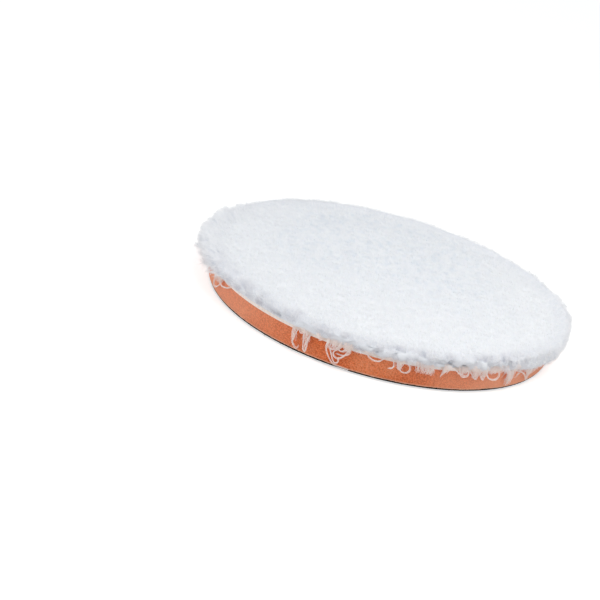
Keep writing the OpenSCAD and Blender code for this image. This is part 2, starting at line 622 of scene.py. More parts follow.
# %% Sides and heights of the bed
FRONT_START, FRONT_FULL = 0.3, 0.75
LEFT_START, LEFT_FULL = 0.6, 0.9
CORNER_X, CORNER_Y = (40 * MM, 68 * MM), (5 * MM, -20 * MM)
RIM_START = bed_shoulder_r - 1 * MM
HEM_FULL = bed_low + 0.5 * MM
BASE_R = bed_inner_r + 0.1 * MM


def smooth_step(value, start, end):
    """0 before the start, 1 after the end and smooth between them."""
    t = max(0.0, min(1.0, (value - start) / (end - start)))
    return t * t * (3 - 2 * t)


def at_front(point):
    return smooth_step(-point.y / max(point.xy.length, MM), FRONT_START, FRONT_FULL)


def at_left(point):
    return smooth_step(-point.x / max(point.xy.length, MM), LEFT_START, LEFT_FULL)


def at_right_corner(point):
    return smooth_step(point.x, *CORNER_X) * smooth_step(point.y, *CORNER_Y)


def on_rim(point):
    return smooth_step(point.xy.length, RIM_START, face_r)


def on_wall(point):
    """The side of the rim, without its shoulder."""
    return on_rim(point) * (1 - smooth_step(point.z, bed_mid, bed_edge))


def on_hem(point):
    return on_rim(point) * (1 - smooth_step(point.z, HEM_FULL, bed_mid))


def bears_tufts(point):
    """All of the bed but its base, inside the hem."""
    return float(point.z > bed_mid or point.xy.length > BASE_R)


# %% [markdown]
# A zone is a product of such weights: it is strong only where all of them are. So each
# push below gets a zone of its own, which fades out at its borders and leaves no step.

# %% Zones of the bed
LEFT_FLATTER, CORNER_FLATTER = 0.35, 0.3
HEM_EVEN = bed_low + 1.5 * MM
EDGE_START, EDGE_FULL = bed_low + 0.3 * MM, bed_mid + 0.7 * MM
HEM_RIGHT = -35 * MM, 5 * MM
WALL_RIGHT = -25 * MM, 15 * MM
DROOP_X, DROOP_Y = (46 * MM, 64 * MM), (0, -25 * MM)


def fluffed(point):
    """The side of the rim, except at the front, and less at the left and the right corner."""
    less = LEFT_FLATTER * at_left(point) + CORNER_FLATTER * at_right_corner(point)
    return on_wall(point) * (1 - at_front(point)) * (1 - less)


def lumpy(point):
    """The whole rim at the front, and only its side elsewhere; the lowest edge stays even."""
    front = at_front(point)
    above_hem = smooth_step(point.z, bed_low, HEM_EVEN)
    return (front * on_rim(point) + (1 - front) * on_wall(point)) * above_hem


def on_front_edge(point):
    above_hem = smooth_step(point.z, EDGE_START, EDGE_FULL)
    return at_front(point) * on_rim(point) * above_hem


def on_right_hem(point):
    return on_hem(point) * at_front(point) * smooth_step(point.x, *HEM_RIGHT)


def on_right_wall(point):
    return lumpy(point) * at_front(point) * smooth_step(point.x, *WALL_RIGHT)


def on_right_droop(point):
    """The lowest edge at the right corner, where the pile hangs over the foam."""
    corner = smooth_step(point.x, *DROOP_X) * smooth_step(point.y, *DROOP_Y)
    return on_hem(point) * corner * bears_tufts(point)


# %% [markdown]
# The weights become vertex groups, and each group limits a push. Cloud textures give soft
# lumps. Cell textures with a negative depth press in the clefts between clumps. A group
# is weighed just before its first use, on the form as it is by then. The group named
# tufted doesn't push: it keeps fibres off the base inside the hem, where nothing shows.

# %% Press the bed into shape
FLUFF = 3.0 * MM
DROOP = 2.3 * MM


def weigh(piece, name, weight):
    """A vertex group whose weights come from a rule on each point."""
    group = piece.vertex_groups.new(name=name)
    for vertex in piece.data.vertices:
        group.add([vertex.index], weight(vertex.co), "REPLACE")
    return name


weigh(bed, "tufted", bears_tufts)
push_out(bed, FLUFF, weigh(bed, "fluff", fluffed))
rough_up(bed, "CLOUDS", grain=5 * MM, depth=1.6 * MM, group=weigh(bed, "lumps", lumpy))
rough_up(bed, "VORONOI", grain=4.2 * MM, depth=-2.0 * MM, middle=0.6, group="lumps")
rough_up(bed, "CLOUDS", grain=3.6 * MM, depth=2.4 * MM, middle=0.6, direction="Z",
         group=weigh(bed, "front_edge", on_front_edge))
rough_up(bed, "CLOUDS", grain=4 * MM, depth=0.4 * MM, direction="Z",
         group=weigh(bed, "hem", on_hem))
rough_up(bed, "CLOUDS", grain=5 * MM, depth=2.6 * MM, direction="Z",
         group=weigh(bed, "right_hem", on_right_hem))
rough_up(bed, "CLOUDS", grain=5.5 * MM, depth=3.0 * MM,
         group=weigh(bed, "right_wall", on_right_wall))
rough_up(bed, "VORONOI", grain=5.5 * MM, depth=-4.0 * MM, middle=0.45, group="right_wall")
push_out(bed, -DROOP, weigh(bed, "right_droop", on_right_droop), direction="Z")
rough_up(bed, "CLOUDS", grain=7 * MM, depth=0.9 * MM)
rough_up(bed, "CLOUDS", grain=2.2 * MM, depth=0.6 * MM)
rough_up(bed, "CLOUDS", grain=9 * MM, depth=2.4 * MM, group="front_edge", direction="Z")
print("bed groups:", ", ".join(group.name for group in bed.vertex_groups))

# %% [markdown]
# Between the fibres the bed shows through as the shade deep in the pile, so its pale
# grey is painted shade, painted a little darker round the rim, where the fibres part. One
# tone all over would look flat, so a noise makes it uneven.

# %% Bed finish
# Both bed tones are painted shade deep in the pile, the rim tone the darker.
BED_FACE, BED_RIM_SHADE = linear(243, 245, 248), linear(232, 235, 240)
RIM_SHADE_START, RIM_SHADE_FULL = face_r - 6 * MM, face_r + 1 * MM
CLOT_SHARE, CLOT_MIDDLE = 0.6, 0.3

bed_look, w, shader = material("white_pile_bed", roughness=0.9, specular=0.05)
place = place_on(w)
# Painted shade, darker towards the rim.
rim = place.from_axis().ramp(RIM_SHADE_START, RIM_SHADE_FULL)
shade = rim + place.noise(scale=420, detail=4) * CLOT_SHARE - CLOT_MIDDLE
connect(shader, Base_Color=shade.mixed(BED_FACE, BED_RIM_SHADE))
dress(bed, bed_look, stands_for="pile")

# %% [markdown]
# ## Fibre shapes
#
# A fibre is a three-sided spike with a few bends. Hair curves could stand for it, but the
# pad is handed on as a mesh. So each shape is a small triangle, extruded along its own
# path and closed at the tip: short ones for the face, which also serve as filaments of
# the nap, and longer, more curled ones for the rim. They are copied by the thousand, so
# each has only a few faces. A fibre is thinner than a pixel, so it is shaded flat. The
# map named OFBake gives each shape its own tone across, and its root and tip along.

# %% Model a fibre
TAPER = 0.85
MAP_START, MAP_STEP = 0.2, 0.15


def strand(index, count, radius, path):
    """A three-sided strand along a path of points, with a pointed tip."""
    start_fresh()
    bpy.ops.mesh.primitive_circle_add(
        vertices=3, radius=radius, location=path[0], fill_type="NOTHING")
    piece = bpy.context.object
    bpy.ops.object.transform_apply(location=True)
    bpy.ops.object.mode_set(mode="EDIT")
    bpy.ops.mesh.select_all(action="SELECT")
    for last, point in zip(path, path[1:]):
        step = tuple(b - a for a, b in zip(last, point))
        bpy.ops.mesh.extrude_region_move(TRANSFORM_OT_translate={"value": step})
        bpy.ops.transform.resize(value=(TAPER, TAPER, 1), center_override=point)
    bpy.ops.mesh.merge(type="CENTER")
    bpy.ops.mesh.select_all(action="SELECT")
    bpy.ops.mesh.normals_make_consistent(inside=False)
    bpy.ops.object.mode_set(mode="OBJECT")
    in_order(piece)
    bpy.ops.object.shade_flat()
    mesh = piece.data
    top = max(v.co.z for v in mesh.vertices)
    marks = mesh.uv_layers.new(name="OFBake")
    for face in mesh.polygons:
        for corner, loop in enumerate(face.loop_indices):
            height = mesh.vertices[mesh.loops[loop].vertex_index].co.z
            across = (index + MAP_START + MAP_STEP * corner) / count
            marks.data[loop].uv = (across, max(0.0, min(1.0, height / top)))
    return piece


# %% [markdown]
# The paths differ in how far they bend and how much their tips hook, because equal fibres
# would show as a pattern. The shapes lie in a collection outside the scene, so that only
# their copies are seen.

# %% Fill the boxes of shapes
def bent(length, bend, hook, segments):
    """Points of a fibre that rises along Z and bends towards X, more so near its tip."""
    x = z = 0.0
    path = [(x, 0, z)]
    step = length / segments
    for i in range(1, segments + 1):
        t = i / segments
        angle = bend * t + hook * t * t
        x, z = x + step * math.sin(angle), z + step * math.cos(angle)
        path.append((x, 0, z))
    return path


def shape_box(name, radius, paths):
    """A collection of strands, out of the scene, for the tufting to pick from."""
    box = bpy.data.collections.new(name)
    for i, path in enumerate(paths):
        piece = strand(i, len(paths), radius, path)
        piece.name = f"{name}_{i}"
        bpy.context.collection.objects.unlink(piece)
        box.objects.link(piece)
    print(f"{name}: {len(paths)} shapes of {triangles(piece)} triangles")
    return box


FACE_FIBRE, FACE_FIBRE_R = 2.2 * MM, 0.10 * MM
RIM_FIBRE, RIM_FIBRE_R = 4.5 * MM, 0.11 * MM
FACE_BENDS = [(0.3, 0.3), (0.7, 0.2), (0.2, 1.1), (1.0, 0.4), (-0.4, 1.4), (0.5, 0.8)]
RIM_BENDS = [(0.2, 0.3), (0.5, 0.5), (0.1, 1.0), (0.8, 0.6),
             (-0.5, 1.6), (0.6, 1.2), (-0.3, 0.8), (0.9, 0.9)]
face_shapes = shape_box("face_fibre", FACE_FIBRE_R,
                        [bent(FACE_FIBRE, *bend, segments=2) for bend in FACE_BENDS])
rim_shapes = shape_box("rim_fibre", RIM_FIBRE_R,
                       [bent(RIM_FIBRE, *bend, segments=3) for bend in RIM_BENDS])

# %% [markdown]
# The fibres are white. Each is painted darker at its root, for the shade deep in the pile,
# and neighbours differ a little, which the map on the fibres gives. The front fibres are
# painted greyer, for the shade on the front wall, most of all low down and less so towards
# the right. The face has faint spots of painted shade in its middle and at its back, where
# the tufts part. Spots could be painted on, but a noise on the place of each point colours
# whole tufts alike.

# %% Fibre finish
# The root tones are darker than the tip tones: painted shade deep in the pile.
FACE_ROOT, FACE_TIP = linear(248.5, 250, 252), linear(253, 253.4, 254)
# Bluish grey spots of painted shade, where the tufts part.
FACE_SPOT_SHADE = linear(241, 244.5, 248.5)
RIM_ROOT, RIM_TIP = linear(249, 250, 252), linear(252, 252.5, 253.4)
# The front tones are greyer than the face's, and the hem tones greyer still: painted shade on
# the front wall.
FRONT_ROOT, FRONT_TIP = linear(241, 241.5, 245), linear(250.5, 250.8, 252)
HEM_ROOT, HEM_TIP = linear(208, 209, 216), linear(241, 241.5, 245)
MAP_STEPS = 64
ALONG_SHARE, SHAPE_SHARE, ROOT_FLOOR = 1.2, 0.3, 0.2
# Where the painted shade of the front ends, and how much less of it the right gets.
GREY_BELOW, WHITE_ABOVE = bed_mid - 2.5 * MM, bed_mid + 1.5 * MM
PALER_RIGHT, PALER_SHARE = (-20 * MM, 50 * MM), 0.85
SPOT_SCALE, SPOT_RANGE = 340, (0.45, 0.7)
SPOT_MIDDLE, SPOT_SIDES, SPOT_FRONT = -2 * MM, (65 * MM, 30 * MM), (-45 * MM, 5 * MM)


def shaded_low_down(w):
    """How much painted shade the front gets: 1 beside the foam, 0 at the top, and less at the
    right.
    """
    x, _, z = place_on(w).parts()
    paler = x.ramp(*PALER_RIGHT) * PALER_SHARE
    return (1 - z.ramp(GREY_BELOW, WHITE_ABOVE)) * (1 - paler)


def shade_between_tufts(w):
    """Spots of painted shade on the face that fade towards its sides and its front."""
    place = place_on(w)
    x, y, _ = place.parts()
    spots = place.noise(SPOT_SCALE, detail=1).ramp(*SPOT_RANGE)
    return spots * abs(x - SPOT_MIDDLE).ramp(*SPOT_SIDES) * y.ramp(*SPOT_FRONT)


def fibre_look(name, root, tip, low=None, spot=None):
    """Fibres shaded from root to tip, with more shade low down or in spots, all painted."""
    made, w, shader = material(name, roughness=0.9, specular=0.05)
    across, along, _ = w.node("ShaderNodeUVMap", {"uv_map": "OFBake"}).parts()
    which = w.maths("FLOOR", across * MAP_STEPS)
    shape_tone = w.node("ShaderNodeTexWhiteNoise", {"noise_dimensions": "1D"}, {"W": which})
    # Darker towards the root: painted shade deep in the pile.
    tone = along * ALONG_SHARE + shape_tone * SHAPE_SHARE - ROOT_FLOOR
    colour = tone.mixed(root, tip)
    if low:
        # Painted shade, greyest low down on the front.
        colour = shaded_low_down(w).mixed(colour, tone.mixed(*low))
    if spot:
        # Spots of painted shade on the face.
        colour = shade_between_tufts(w).mixed(colour, spot)
    connect(shader, Base_Color=colour)
    print(f"{name}: {len(w.tree.nodes)} nodes")
    return made


face_look = fibre_look("white_face_fibre", FACE_ROOT, FACE_TIP, spot=FACE_SPOT_SHADE)
rim_look = fibre_look("white_rim_fibre", RIM_ROOT, RIM_TIP)
front_look = fibre_look("white_front_fibre", FRONT_ROOT, FRONT_TIP, low=(HEM_ROOT, HEM_TIP))

# %% [markdown]
# ## Tufting
#
# Planting tens of thousands of fibres by hand is out of the question, so a geometry
# network does it, as a tufting machine would. It scatters roots over the bed, gathers
# them into locks by leaning each fibre towards the tip of the nearest lock, and lays a
# random fibre on each root. The modifier is then applied, so the result is a plain mesh.

# %% Build the tufting network
LOCK_SEED, TURN_SEED, SIZE_SEED, PICK_SEED, SPREAD_SEED = 11, 7, 9, 13, 17
LOCKS_TRIED = 4
SLIMMING = 0.75


def tufting(name, shapes, zone, comb, density, lock_gap, lock_length, gather, fray, sway,
            size, seed):
    """A network that plants strands as densely as zone says, the way that comb lays them.

    Locks are lock_gap apart and their tips lock_length out. Gather is how far fibres lean
    to them, fray and sway are how far fibres and locks stray, and size is a range of scales.
    """
    tree = bpy.data.node_groups.new(name, "GeometryNodeTree")
    for side in ("INPUT", "OUTPUT"):
        tree.interface.new_socket("Geometry", in_out=side, socket_type="NodeSocketGeometry")
    g = Wire(tree)
    surface = g.node("NodeGroupInput")
    position = g.node("GeometryNodeInputPosition")
    vectors = {"data_type": "FLOAT_VECTOR", "domain": "POINT"}

    def random_vector(reach, seed):
        ends = {0: (-reach, -reach, -reach), 1: (reach, reach, reach), "Seed": seed}
        return g.node("FunctionNodeRandomValue", {"data_type": "FLOAT_VECTOR"}, ends)

    def random_number(low, high, seed, inputs=None):
        ends = {2: low, 3: high, "Seed": seed, **(inputs or {})}
        return g.node("FunctionNodeRandomValue", {"data_type": "FLOAT"}, ends, out=1)

    def scattered(method, label, seed, stray, inputs):
        """Points on the surface that remember their combed direction under a name."""
        points = g.node("GeometryNodeDistributePointsOnFaces", {"distribute_method": method},
                        {"Mesh": surface, "Seed": seed, **inputs})
        combed = comb.lay(g, position, points.other("Normal")).unit()
        grain = (combed + random_vector(stray, seed + 1)).unit()
        kept = g.node("GeometryNodeStoreNamedAttribute", vectors,
                      {"Geometry": points, "Name": label, "Value": grain})
        read = g.node("GeometryNodeInputNamedAttribute", {"data_type": "FLOAT_VECTOR"},
                      {"Name": label})
        return kept, read

    locks, lock_grain = scattered(
        "POISSON", "lock_grain", LOCK_SEED, sway,
        {"Distance Min": lock_gap, "Density Max": LOCKS_TRIED / lock_gap ** 2})
    roots, grain = scattered(
        "RANDOM", "root_grain", seed, fray, {"Density": zone(g, position) * density})

    lock = g.node("GeometryNodeSampleNearest", {"domain": "POINT"},
                  {"Geometry": locks, "Sample Position": position})
    of_lock = {"Geometry": locks, "Index": lock}
    lock_place = g.node("GeometryNodeSampleIndex", vectors, {**of_lock, "Value": position})
    lock_lean = g.node("GeometryNodeSampleIndex", vectors, {**of_lock, "Value": lock_grain})
    to_tip = (lock_place + lock_lean.scaled(lock_length) - position).unit()
    pull = comb.locked(g, position) * gather
    lean = grain.scaled(1 - pull) + to_tip.scaled(pull)

    upright = g.node("FunctionNodeAlignRotationToVector", {"axis": "Z"}, {"Vector": lean})
    turned_over = g.node("FunctionNodeAlignRotationToVector", {"axis": "X", "pivot_axis": "Z"},
                         {"Rotation": upright, "Vector": random_vector(1, TURN_SEED)})
    pick = g.node("FunctionNodeRandomValue", {"data_type": "INT"},
                  {4: 0, 5: len(shapes.objects) - 1, "Seed": PICK_SEED}, out=2)
    boxed = g.node("GeometryNodeCollectionInfo", None,
                   {"Collection": shapes, "Separate Children": True, "Reset Children": True})
    lock_scale = random_number(*comb.SPREAD, SPREAD_SEED, {"ID": lock})
    scale = random_number(*size, SIZE_SEED) * lock_scale
    tall = comb.length(g, position)
    wide = g.maths("POWER", tall, SLIMMING) * scale
    stretch = g.node("ShaderNodeCombineXYZ", None, {"X": wide, "Y": wide, "Z": scale * tall})
    copies = g.node("GeometryNodeInstanceOnPoints", None, {
        "Points": roots, "Instance": boxed, "Pick Instance": True, "Instance Index": pick,
        "Rotation": turned_over, "Scale": stretch})
    plain = g.node("GeometryNodeRealizeInstances", None, {"Geometry": copies})
    g.node("NodeGroupOutput", None, {0: plain})
    return tree


# %% [markdown]
# The network needs a surface to plant on. It gets a copy, because it keeps only the
# fibres, and the surface itself stays as it is for the next network.

# %% Plant fibres on a surface
def plant(name, ground, tree, look):
    """Copy a surface, tuft it, and keep only the strands."""
    start_fresh()
    piece = bpy.data.objects.new(name, ground.data.copy())
    piece.data.name = name
    bpy.context.collection.objects.link(piece)
    piece.select_set(True)
    bpy.context.view_layer.objects.active = piece
    bpy.ops.object.modifier_add(type="NODES")
    piece.modifiers[-1].node_group = tree
    bpy.ops.object.modifier_apply(modifier=piece.modifiers[-1].name)
    dress(piece, look)
    print(f"{name}: {triangles(piece)} triangles")
    return piece


# %% [markdown]
# ## Combing
#
# A comb says which way the fibres of a zone lie, how long they are and how firmly they
# gather into locks. Hair could be combed by hand, but a rule can be mended later by one
# number. On the face the fibres stand up and lean a little, this way and that in patches.

# %% Comb the face
LEVEL = 1, 1, 0
MIDDLE = 0.5, 0.5, 0.5


class Comb:
    """Fibres that stand up from the surface and lean a little, in patches."""
    SPREAD = 0.85, 1.15
    PATCHES = 150
    LEAN = 2.6

    def sweep(self, g, position):
        """A level direction that wanders from patch to patch."""
        drift = position.noise(self.PATCHES, detail=2, out="Color")
        either_way = g.node("ShaderNodeVectorMath", {"operation": "SUBTRACT"},
                            {0: drift, 1: MIDDLE})
        return either_way * LEVEL

    def lay(self, g, position, normal):
        """The direction of the fibres."""
        return normal + self.sweep(g, position).scaled(self.LEAN)

    def length(self, g, position):
        """The length of the fibres, as a share of the length of their shapes."""
        return 1

    def locked(self, g, position):
        """How strongly fibres gather into locks, from 0 to 1 or a little over."""
        return g.number(1)


# %% [markdown]
# Round the rim the fibres splay outwards. They are longest at the left, where they end in
# points. They are shorter at the right corner and at the far side, which was trimmed and
# brushed, so that its locks are loose.

# %% Comb the rim
class RimComb(Comb):
    """Fibres that splay outwards, longer at the left, shorter at the back and right corner."""
    SPREAD = 0.72, 1.28
    SPLAY = 1.0
    RISE = 0.05
    LIFT = 0.4
    FAR = 20 * MM, 50 * MM
    LEFT = -45 * MM, -70 * MM
    LENGTH, LEFT_LENGTH, FAR_LENGTH, CORNER_LENGTH = 0.55, 0.9, 0.4, 0.34
    LOCKED, LEFT_LOCKED, FAR_LOCKED = 1, 1.4, 0.2

    def lay(self, g, position, normal):
        outward = (position * LEVEL).unit()
        rise = g.maths("MAXIMUM", normal.parts()[2], 0) * self.LIFT + self.RISE
        up = g.node("ShaderNodeCombineXYZ", None, {"Z": rise})
        return normal * LEVEL + outward.scaled(self.SPLAY) + up

    def length(self, g, position):
        x, y, _ = position.parts()
        corner = x.ramp(*CORNER_X) * y.ramp(*CORNER_Y)
        side = x.ramp(*self.LEFT).blend(self.LENGTH, self.LEFT_LENGTH)
        side = corner.blend(side, self.CORNER_LENGTH)
        return y.ramp(*self.FAR).blend(side, self.FAR_LENGTH)

    def locked(self, g, position):
        x, y, _ = position.parts()
        side = x.ramp(*self.LEFT).blend(self.LOCKED, self.LEFT_LOCKED)
        return y.ramp(*self.FAR).blend(side, self.FAR_LOCKED)


# %% [markdown]
# At the front the pile ends in an upright wall. Its fibres stand up, short on top and
# longer on the side. From the middle to the right, those of the lowest edge hang over the
# foam instead.

# %% Comb the front
class FrontComb(Comb):
    """Fibres that stand up along the front wall and hang over the foam at its right end."""
    SPREAD = 0.6, 1.4
    OUTWARD = 0.45
    HANG = 0.9
    TOP_LENGTH, WALL_LENGTH, HEM_LENGTH = 0.34, 0.6, 0.4
    WALL = bed_mid + 1.4 * MM, bed_mid + 0.2 * MM
    HEM = bed_low + 1.6 * MM, bed_low + 0.6 * MM

    def hem(self, position):
        """1 along the lowest edge, except at the left."""
        x, _, z = position.parts()
        return z.ramp(*self.HEM) * x.ramp(*HEM_RIGHT)

    def lay(self, g, position, normal):
        rise = 1 - self.hem(position) * (1 + self.HANG)
        up = g.node("ShaderNodeCombineXYZ", None, {"Z": rise})
        return (normal * LEVEL).scaled(self.OUTWARD) + up

    def length(self, g, position):
        wall = position.parts()[2].ramp(*self.WALL)
        standing = wall.blend(self.TOP_LENGTH, self.WALL_LENGTH)
        return self.hem(position).blend(standing, self.HEM_LENGTH)


# %% [markdown]
# ## Planting the pile
#
# Face, rim and front blend into each other: towards the edge of the face its fibres get
# fewer and those of the rim or the front get more. One piece of pile would be too heavy to
# handle, so each zone is planted in slices, as a cake is cut.

# %% Plant the face, the rim and its front
PER_MM2 = 1e6
FACE_EDGE_R = face_r - 3 * MM
BLEND = 4 * MM
LEFT_TURN = 0.18
ALL_ROUND, FRONT_HALF = (-180.4, 180.4), (-180.4, 0.4)


def front_share(g, position):
    """1 at the front, which reaches further round at the left, and 0 at the sides and back."""
    x, y, _ = position.parts()
    forward = y + g.maths("MINIMUM", x, 0) * LEFT_TURN
    return (forward / position.from_axis()).ramp(-FRONT_START, -FRONT_FULL)


def slice_of(kind, index, count, start, end):
    """One of a number of slices of the face, of the rim or of its front, between two angles."""
    low, high = (math.radians(start + (end - start) * i / count) for i in (index, index + 1))

    def zone(g, position):
        x, y, _ = position.parts()
        angle = g.maths("ARCTAN2", y, x)
        here = g.maths("GREATER_THAN", angle, low) * g.maths("LESS_THAN", angle, high)
        rim = position.from_axis().ramp(FACE_EDGE_R - BLEND, FACE_EDGE_R + BLEND)
        front = front_share(g, position)
        tufted = g.node("GeometryNodeInputNamedAttribute", {"data_type": "FLOAT"},
                        {"Name": "tufted"})
        share = {"face": 1 - rim, "rim": rim * (1 - front), "front": rim * front}[kind]
        return here * tufted * share
    return zone


def plant_zone(kind, look, slices, angles, first_seed, **tufts):
    for i in range(slices):
        tree = tufting(f"{kind}_tufting_{i}", zone=slice_of(kind, i, slices, *angles),
                       seed=first_seed + i, **tufts)
        plant(f"pile_{kind}_{i}", bed, tree, look)


plant_zone("face", face_look, slices=5, angles=ALL_ROUND, first_seed=20,
           shapes=face_shapes, comb=Comb(), density=4.5 * PER_MM2, lock_gap=3.4 * MM,
           lock_length=2.6 * MM, gather=0.82, fray=0.4, sway=0.6, size=(0.65, 1.0))
plant_zone("rim", rim_look, slices=5, angles=ALL_ROUND, first_seed=60,
           shapes=rim_shapes, comb=RimComb(), density=5.0 * PER_MM2, lock_gap=2.9 * MM,
           lock_length=4 * MM, gather=0.62, fray=0.32, sway=0.3, size=(0.75, 1.1))
plant_zone("front", front_look, slices=4, angles=FRONT_HALF, first_seed=80,
           shapes=rim_shapes, comb=FrontComb(), density=5.0 * PER_MM2, lock_gap=3.6 * MM,
           lock_length=3.5 * MM, gather=0.7, fray=0.3, sway=0.35, size=(0.75, 1.1))

# %% [markdown]
# ## Planting the nap
#
# The back gets its filaments in the same way, from the short shapes. A brush laid them
# almost flat, in swirls, and they are pressed level, because the pad lies on them. Each
# point that hangs under the felt is drawn back, the more the lower it hangs. Then the
# fibre shapes have done their work and are put away.

# %% Plant the nap at the back
NAP_ROOT, NAP_TIP = linear(8, 9, 12), linear(46, 48, 52)
NAP_RIM = 0.1 * MM


class NapComb(Comb):
    """Filaments that a brush laid almost flat, in swirls."""
    PATCHES = 110
    STAND = 0.22
    LENGTH = 0.55

    def lay(self, g, position, normal):
        return self.sweep(g, position).unit() + normal.scaled(self.STAND)

    def length(self, g, position):
        return self.LENGTH


def under_nap(g, position):
    return g.maths("LESS_THAN", position.parts()[2], nap_top - NAP_RIM)


nap_look = fibre_look("black_loop_fibre", NAP_ROOT, NAP_TIP)
tree = tufting("nap_brushing", face_shapes, under_nap, NapComb(), density=0.85 * PER_MM2,
               lock_gap=3 * MM, lock_length=2 * MM, gather=0, fray=0.25, sway=0.2,
               size=(0.75, 1.15), seed=90)
filaments = plant("loop_nap_filaments", nap, tree, nap_look)
for vertex in filaments.data.vertices:
    hang = nap_ground - vertex.co.z
    if hang > 0:
        vertex.co.z = nap_ground - NAP_FELT * (1 - math.exp(-hang / NAP_FELT))

for box in (face_shapes, rim_shapes):
    for piece in list(box.objects):
        bpy.data.objects.remove(piece)
    bpy.data.collections.remove(box)

# %% [markdown]
# ## Loose yarn ends
#
# Where the tufted cloth was cut to a circle, some yarns came loose. They hang from the
# cloth's edge in front of the foam as hooks, rings and small tangles. Scattered hair would
# be too even for them. So each is drawn as a curve of a few points on the pad's side,
# given by the angle round the rim in degrees and the height in millimetres.

# %% Draw the loose ends
DRAWN_ENDS = [
    [(-156, 9.8), (-155.2, 5.2), (-153, 4.4), (-150.4, 7.0), (-149.6, 9.8)],
    [(-152.6, 11.2), (-150.2, 7.4), (-146.8, 8.6), (-144.4, 9.6), (-142.4, 12)],
    [(-115.4, 12.4), (-115.8, 9.7), (-115.2, 7.5), (-114.6, 4.9), (-113.6, 3.1), (-112.6, 2.9),
     (-112.8, 3.9)],
    [(-113.5, 12.4), (-114.7, 9.6), (-114.6, 6.4), (-115.2, 4.6), (-114.4, 3.6)],
    [(-114.2, 11.2), (-113.2, 9.6), (-112.2, 10.2), (-111.4, 11.8), (-110.8, 9.8)],
    [(-112.2, 12.4), (-111.5, 9.1), (-111.3, 6.5), (-110.8, 3.6), (-110, 2.9), (-109.9, 5.6),
     (-110.1, 9.3), (-109.5, 12.4)],
    [(-109.2, 12), (-110.4, 9.4), (-110.3, 6.8), (-110.9, 4.6), (-110.2, 3.8)],
    [(-108.1, 12.8), (-107.1, 12), (-106.1, 11.5), (-106, 10.2), (-106.9, 9.7)],
    [(-103.9, 12.4), (-104.4, 9.1), (-104.2, 7.6), (-103.2, 5.7), (-102.1, 3.7), (-100.6, 2.3),
     (-98.4, 2), (-96.2, 1.9)],
    [(-102.5, 12.4), (-103.8, 9.2), (-103.1, 8), (-101.5, 8.8), (-100.5, 10.4), (-100.1, 12.4)],
    [(-96.7, 12.6), (-97.5, 9.3), (-98.4, 7.1), (-99.5, 5.6), (-100.9, 5.3), (-101.9, 6.8),
     (-101.3, 8.5), (-99.9, 9.7), (-99.1, 12)],
    [(-102.1, 10), (-100.7, 8.6), (-99.1, 8.7), (-97.7, 10.6), (-96.8, 10.2), (-97.5, 8),
     (-99.1, 6.8), (-100.9, 6.9)],
    [(-103.1, 8), (-102.1, 5.8), (-101.3, 3.8), (-100.2, 3), (-99.6, 4.2), (-100, 5.6)],
    [(-93.3, 12.8), (-92.3, 10.8), (-90.9, 9.3), (-88.9, 8.8), (-87.2, 9.8), (-86.4, 12.4)],
    [(-85.4, 12.6), (-84.2, 11), (-83.6, 9), (-84, 7.4), (-85, 6.9)],
    [(-83.4, 12.4), (-82.7, 9.4), (-82, 6.9), (-81.8, 9.6), (-81.6, 12.4)],
    [(-82.3, 9), (-81.6, 7), (-80.2, 6.4), (-79, 7.4), (-78.8, 9.4), (-79.8, 10.6),
     (-81.2, 11.6)],
    [(-67.4, 12.6), (-68.3, 10.5), (-68.9, 8.7), (-69, 7.3)],
    [(-66.8, 12.4), (-68, 10.8), (-68.6, 9), (-68.8, 8)],
    [(-67.4, 11), (-66.4, 12), (-64.7, 10.9), (-63.3, 9.1), (-61, 8.2)],
    [(-62.6, 12.4), (-63.4, 9.3), (-62, 7.9), (-60.4, 8.6), (-60.1, 10.6), (-61.6, 11.8)],
    [(-60.8, 12), (-58.9, 9.1), (-57.2, 6.4), (-57, 9.1), (-56.9, 12.2)],
    [(-57, 12), (-55.7, 8.4), (-54.5, 6.3), (-54.3, 9), (-55.2, 12)],
    [(-54.2, 12.2), (-53.6, 8.4), (-51.7, 6.6), (-49.3, 6.6), (-48.4, 8.9), (-50, 11),
     (-51.8, 10.7), (-51.6, 8.8)],
    [(-44.6, 12), (-43.6, 9.6), (-40.8, 9.6), (-37.6, 8.1), (-34.6, 5.5), (-33.2, 2.8)],
    [(-37.4, 12), (-35.4, 8), (-34, 5.4), (-33.4, 3.2)],
    [(-33.4, 5.6), (-30.6, 7.1), (-29, 8.6), (-30, 12.2)],
]
print("loose ends:", len(DRAWN_ENDS))

# %% [markdown]
# Other yarns came apart into wide locks, and at the right end there is a haze of single
# fibres between them. A row gives the first and the last angle at the cloth, the first
# and the last angle at the tip, the height of the tip, and the strands.

